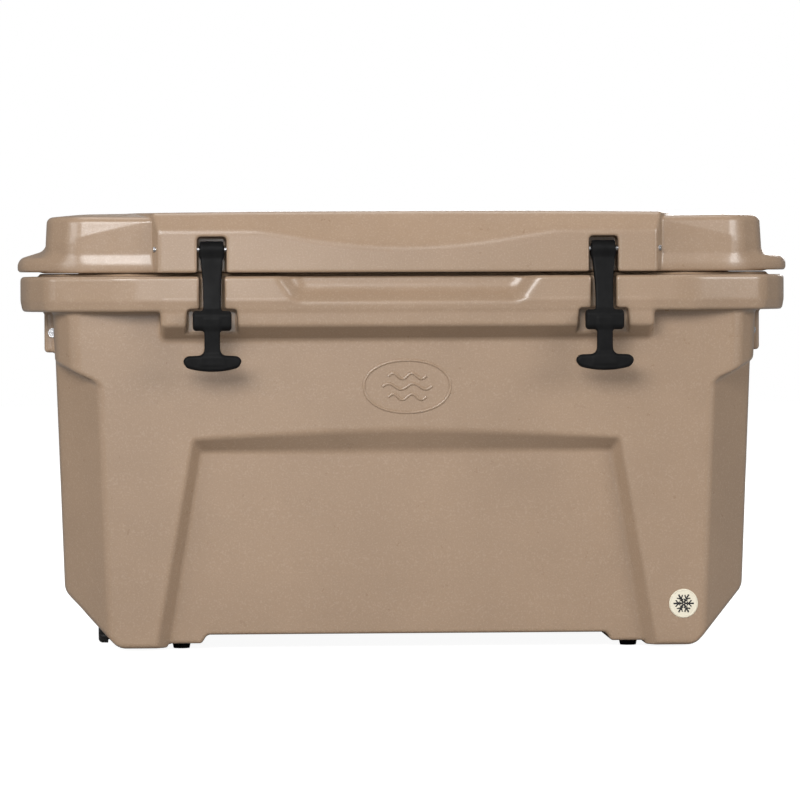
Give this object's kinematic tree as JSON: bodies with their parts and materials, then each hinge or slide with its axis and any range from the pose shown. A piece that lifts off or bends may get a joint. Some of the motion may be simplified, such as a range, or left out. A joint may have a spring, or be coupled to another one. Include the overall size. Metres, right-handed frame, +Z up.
{
  "type": "cooler chest",
  "caption": "Insulated hard cooler chest with foam-filled base and hinged lid, rubber T latches, end grips and a screw-out drain.",
  "frame": {"origin": "on the floor at the middle of the chest's footprint", "axes": "+X along the length, -Y the front with the latches, +Z up"},
  "size_m": [0.82, 0.4736, 0.463],
  "materials": {
    "shell_plastic": "gloss",
    "black_rubber": "satin",
    "seal_rubber": "matte",
    "black_plastic": "satin",
    "stainless": "satin",
    "foam": "matte",
    "badge_cream": "satin"
  },
  "bodies": {
    "base": {"base_shell": "shell_plastic", "base_foam": "foam", "base_foam_plugs": "black_plastic", "badge_disc": "badge_cream", "drain_fitting": "black_plastic", "foot_front_left": "black_rubber", "foot_front_right": "black_rubber", "foot_rear_left": "black_rubber", "foot_rear_right": "black_rubber", "foot_screws": "stainless", "handle_rod_left": "stainless", "handle_rod_right": "stainless", "hinge_pin_left": "stainless", "hinge_pin_right": "stainless"},
    "lid": {"lid_shell": "shell_plastic", "lid_foam": "foam", "lid_foam_plugs": "black_plastic", "lid_gasket": "seal_rubber", "latch_pin_left": "stainless", "latch_pin_right": "stainless"},
    "latch_left": {"latch_left": "black_rubber"},
    "latch_right": {"latch_right": "black_rubber"},
    "grip_left": {"handle_grip_left": "black_rubber"},
    "grip_right": {"handle_grip_right": "black_rubber"},
    "drain_washer": {"drain_washer": "seal_rubber"},
    "drain_plug": {"drain_plug": "black_plastic"}
  },
  "joints": [
    {"name": "lid_hinge", "type": "hinge", "parent": "base", "child": "lid", "pos_m": [0, 0.2285, 0.397], "axis": [-1, 0, 0], "range_deg": [0, 100]},
    {"name": "latch_left_swing", "type": "hinge", "parent": "lid", "child": "latch_left", "pos_m": [-0.205, -0.213, 0.4225], "axis": [-1, 0, 0], "range_deg": [-9, 115]},
    {"name": "latch_right_swing", "type": "hinge", "parent": "lid", "child": "latch_right", "pos_m": [0.205, -0.213, 0.4225], "axis": [-1, 0, 0], "range_deg": [-9, 115]},
    {"name": "grip_left_spin", "type": "hinge", "parent": "base", "child": "grip_left", "pos_m": [-0.373, -0.001, 0.335], "axis": [0, 1, 0], "continuous": true},
    {"name": "grip_right_spin", "type": "hinge", "parent": "base", "child": "grip_right", "pos_m": [0.373, -0.001, 0.335], "axis": [0, 1, 0], "continuous": true},
    {"name": "drain_travel", "type": "slide", "parent": "base", "child": "drain_washer", "axis": [-1, 0, 0], "range_m": [0, 0.015]},
    {"name": "drain_spin", "type": "hinge", "parent": "drain_washer", "child": "drain_plug", "pos_m": [-0.32, -0.124, 0.025], "axis": [-1, 0, 0], "range_deg": [0, 1800]}
  ],
  "couplings": [
    {"joint": "drain_spin", "follows": "drain_travel", "rad_per_m": 2094.4}
  ]
}
